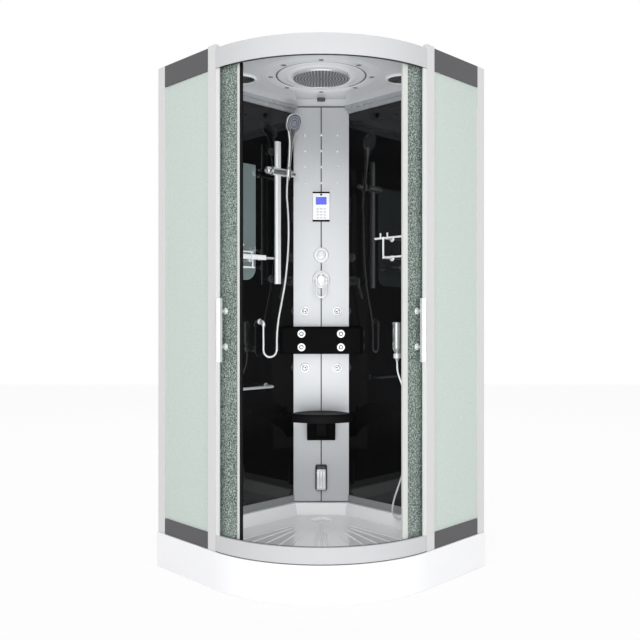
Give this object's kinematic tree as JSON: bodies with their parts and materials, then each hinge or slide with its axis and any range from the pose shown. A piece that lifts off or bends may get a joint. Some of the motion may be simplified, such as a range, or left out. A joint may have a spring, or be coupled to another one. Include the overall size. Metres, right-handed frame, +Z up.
{
  "type": "steam shower cabin",
  "caption": "Quarter-round corner steam shower cabin with curved sliding glass doors, frosted side panes, steel-look column, fold-up seat, rain head, hand shower and low tray.",
  "frame": {"origin": "middle of the footprint on the floor; the room corner is behind it on the Y axis", "axes": "+Z up, the curved door front faces -Y, +X is to the right seen from the front"},
  "size_m": [1.4142, 1.1628, 2.15],
  "materials": {
    "tray_acrylic": "gloss",
    "frame_aluminium": "satin",
    "dark_aluminium": "satin",
    "side_glass": "satin",
    "door_glass": "gloss",
    "black_glass": "gloss",
    "clear_glass": "gloss",
    "seal_plastic": "satin",
    "roof_plastic": "gloss",
    "column_aluminium": "satin",
    "chrome": "polished",
    "chrome_plastic": "polished",
    "grille_grey": "satin",
    "black_plastic": "satin",
    "black_foam": "matte",
    "screen": "gloss",
    "lamp": "gloss",
    "mirror": "polished",
    "steel": "satin",
    "pipe_plastic": "satin",
    "hose_chrome": "polished"
  },
  "bodies": {
    "root": {"tray": "tray_acrylic", "drain_cover": "chrome", "drain_trap": "pipe_plastic", "support_bars": "steel", "feet": "steel", "wall_panel_right": "black_glass", "wall_panel_left": "black_glass", "wall_profiles": "frame_aluminium", "side_glass": "side_glass", "side_rails": "dark_aluminium", "front_posts": "frame_aluminium", "door_jambs": "seal_plastic", "top_rail": "frame_aluminium", "bottom_rail": "frame_aluminium", "roof": "roof_plastic", "rain_head": "chrome", "ceiling_lights": "lamp", "fan_grille": "grille_grey", "speaker": "grille_grey", "column_right": "column_aluminium", "column_left": "column_aluminium", "column_spine": "black_plastic", "steam_generator": "steel", "steam_outlet": "chrome", "micro_jets": "chrome", "body_jets": "chrome", "control_panel": "chrome_plastic", "control_screen": "screen", "valve_bodies": "chrome", "backrest": "black_foam", "seat_bracket": "black_plastic", "slide_bar": "chrome", "mirror": "mirror", "glass_shelf": "clear_glass", "wall_rails": "chrome", "towel_rail": "chrome", "hand_spray": "chrome", "wall_outlets": "chrome", "shower_hose": "hose_chrome", "spray_hose": "hose_chrome"},
    "door_right": {"door_glass_right": "door_glass", "door_seal_right": "seal_plastic", "door_handle_right": "chrome", "door_hangers_right": "pipe_plastic"},
    "roller_right_front": {"door_roller_right_front": "pipe_plastic"},
    "roller_right_rear": {"door_roller_right_rear": "pipe_plastic"},
    "door_left": {"door_glass_left": "door_glass", "door_seal_left": "seal_plastic", "door_handle_left": "chrome", "door_hangers_left": "pipe_plastic"},
    "roller_left_front": {"door_roller_left_front": "pipe_plastic"},
    "roller_left_rear": {"door_roller_left_rear": "pipe_plastic"},
    "seat": {"seat": "black_plastic"},
    "diverter_knob": {"diverter_knob": "chrome"},
    "mixer_cap": {"mixer_cap": "chrome"},
    "mixer_lever": {"mixer_lever": "chrome"},
    "slider": {"slider": "chrome_plastic"},
    "holder": {"handset_holder": "chrome_plastic", "handset": "chrome_plastic"},
    "fan_rotor": {"fan_rotor": "black_plastic"}
  },
  "joints": [
    {"name": "door_right_slide", "type": "hinge", "parent": "root", "child": "door_right", "pos_m": [0, 0.02561, 1.1], "axis": [0, 0, -1], "range_deg": [0, 32.3]},
    {"name": "roller_right_front_spin", "type": "hinge", "parent": "door_right", "child": "roller_right_front", "pos_m": [0.35988, -0.39427, 2.1013], "axis": [0.6508, -0.7593, 0], "range_deg": [0, 1489]},
    {"name": "roller_right_rear_spin", "type": "hinge", "parent": "door_right", "child": "roller_right_rear", "pos_m": [0.52442, -0.14986, 2.1013], "axis": [0.9483, -0.3173, 0], "range_deg": [0, 1489]},
    {"name": "door_left_slide", "type": "hinge", "parent": "root", "child": "door_left", "pos_m": [0, 0.02561, 1.1], "axis": [0, 0, 1], "range_deg": [0, 32.3]},
    {"name": "roller_left_front_spin", "type": "hinge", "parent": "door_left", "child": "roller_left_front", "pos_m": [-0.35988, -0.39427, 2.1013], "axis": [0.6508, 0.7593, 0], "range_deg": [0, 1489]},
    {"name": "roller_left_rear_spin", "type": "hinge", "parent": "door_left", "child": "roller_left_rear", "pos_m": [-0.52442, -0.14986, 2.1013], "axis": [0.9483, 0.3173, 0], "range_deg": [0, 1489]},
    {"name": "seat_fold", "type": "hinge", "parent": "root", "child": "seat", "pos_m": [0, 0.36339, 0.5955], "axis": [-1, 0, 0], "range_deg": [0, 90]},
    {"name": "diverter_turn", "type": "hinge", "parent": "root", "child": "diverter_knob", "pos_m": [0, 0.39139, 1.385], "axis": [0, -1, 0], "range_deg": [-90, 90]},
    {"name": "mixer_turn", "type": "hinge", "parent": "root", "child": "mixer_cap", "pos_m": [0, 0.36409, 1.263], "axis": [0, -1, 0], "range_deg": [-40, 40]},
    {"name": "mixer_lift", "type": "hinge", "parent": "mixer_cap", "child": "mixer_lever", "pos_m": [0, 0.36409, 1.263], "axis": [-1, 0, 0], "range_deg": [0, 25]},
    {"name": "slider_slide", "type": "slide", "parent": "root", "child": "slider", "axis": [0, 0, 1], "range_m": [-0.475, 0.05], "deforming": ["shower_hose"]},
    {"name": "holder_tilt", "type": "hinge", "parent": "slider", "child": "holder", "pos_m": [-0.16193, 0.32188, 1.775], "axis": [0.7071, 0.7071, 0], "range_deg": [-10, 25], "deforming": ["shower_hose"]},
    {"name": "fan_spin", "type": "hinge", "parent": "root", "child": "fan_rotor", "pos_m": [0.352, -0.03061, 2.141], "axis": [0, 0, 1], "continuous": true}
  ],
  "couplings": [
    {"joint": "roller_right_front_spin", "follows": "door_right_slide", "ratio": 46.083},
    {"joint": "roller_right_rear_spin", "follows": "door_right_slide", "ratio": 46.083},
    {"joint": "roller_left_front_spin", "follows": "door_left_slide", "ratio": 46.083},
    {"joint": "roller_left_rear_spin", "follows": "door_left_slide", "ratio": 46.083}
  ]
}
